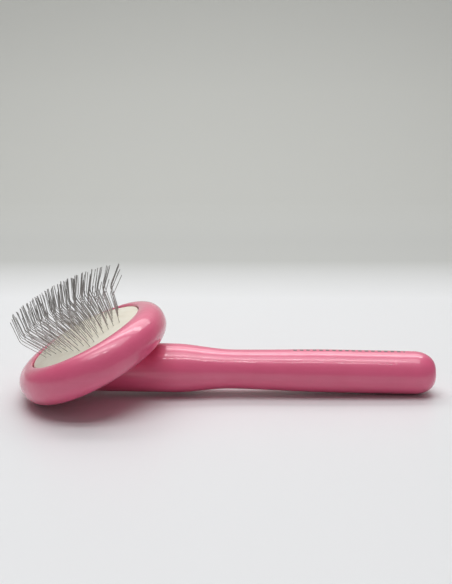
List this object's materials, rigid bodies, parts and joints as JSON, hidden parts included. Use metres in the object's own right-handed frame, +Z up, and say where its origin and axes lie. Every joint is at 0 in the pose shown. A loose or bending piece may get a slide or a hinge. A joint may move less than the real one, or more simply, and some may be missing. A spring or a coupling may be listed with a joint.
{
  "type": "slicker brush",
  "caption": "Wooden pet slicker brush: an oval dish tilted on a rounded handle holds a cushioned, domed pad of long bent wire pins; glossy pink lacquer.",
  "frame": {"origin": "bottom centre of the bounding box, on the surface that the brush lies on", "axes": "+X along the handle from the dish to the butt, +Y across the brush, +Z up, away from the surface"},
  "size_m": [0.2083, 0.103, 0.0634],
  "materials": {
    "pink_lacquer": "high-gloss pink lacquer over hardwood",
    "pin_steel": "drawn stainless wire",
    "screw_zinc": "zinc-plated",
    "dowel_beech": "raw beech",
    "pad_rubber": "matt cream rubber",
    "pad_cotton": "woven cotton backing",
    "cushion_foam": "open-cell foam"
  },
  "bodies": {
    "brush_body": {"handle": "pink_lacquer", "head_dish": "pink_lacquer", "head_screw_rear": "screw_zinc", "head_screw_front": "screw_zinc", "head_dowel_left": "dowel_beech", "head_dowel_right": "dowel_beech", "cushion": "cushion_foam"},
    "pin_pad": {"pad_face": "pad_rubber", "pad_cloth": "pad_cotton", "pin_row_01": "pin_steel", "pin_row_02": "pin_steel", "pin_row_03": "pin_steel", "pin_row_04": "pin_steel", "pin_row_05": "pin_steel", "pin_row_06": "pin_steel", "pin_row_07": "pin_steel", "pin_row_08": "pin_steel", "pin_row_09": "pin_steel", "pin_row_10": "pin_steel", "pin_row_11": "pin_steel", "pin_row_12": "pin_steel", "pin_row_13": "pin_steel", "pin_row_14": "pin_steel", "pin_row_15": "pin_steel"}
  },
  "joints": [
    {"name": "pad_press", "type": "slide", "parent": "brush_body", "child": "pin_pad", "axis": [0.4289, 0, -0.9033], "range_m": [0, 0.0025], "stiffness_N_per_m": 6000, "deforming": ["cushion"]}
  ]
}
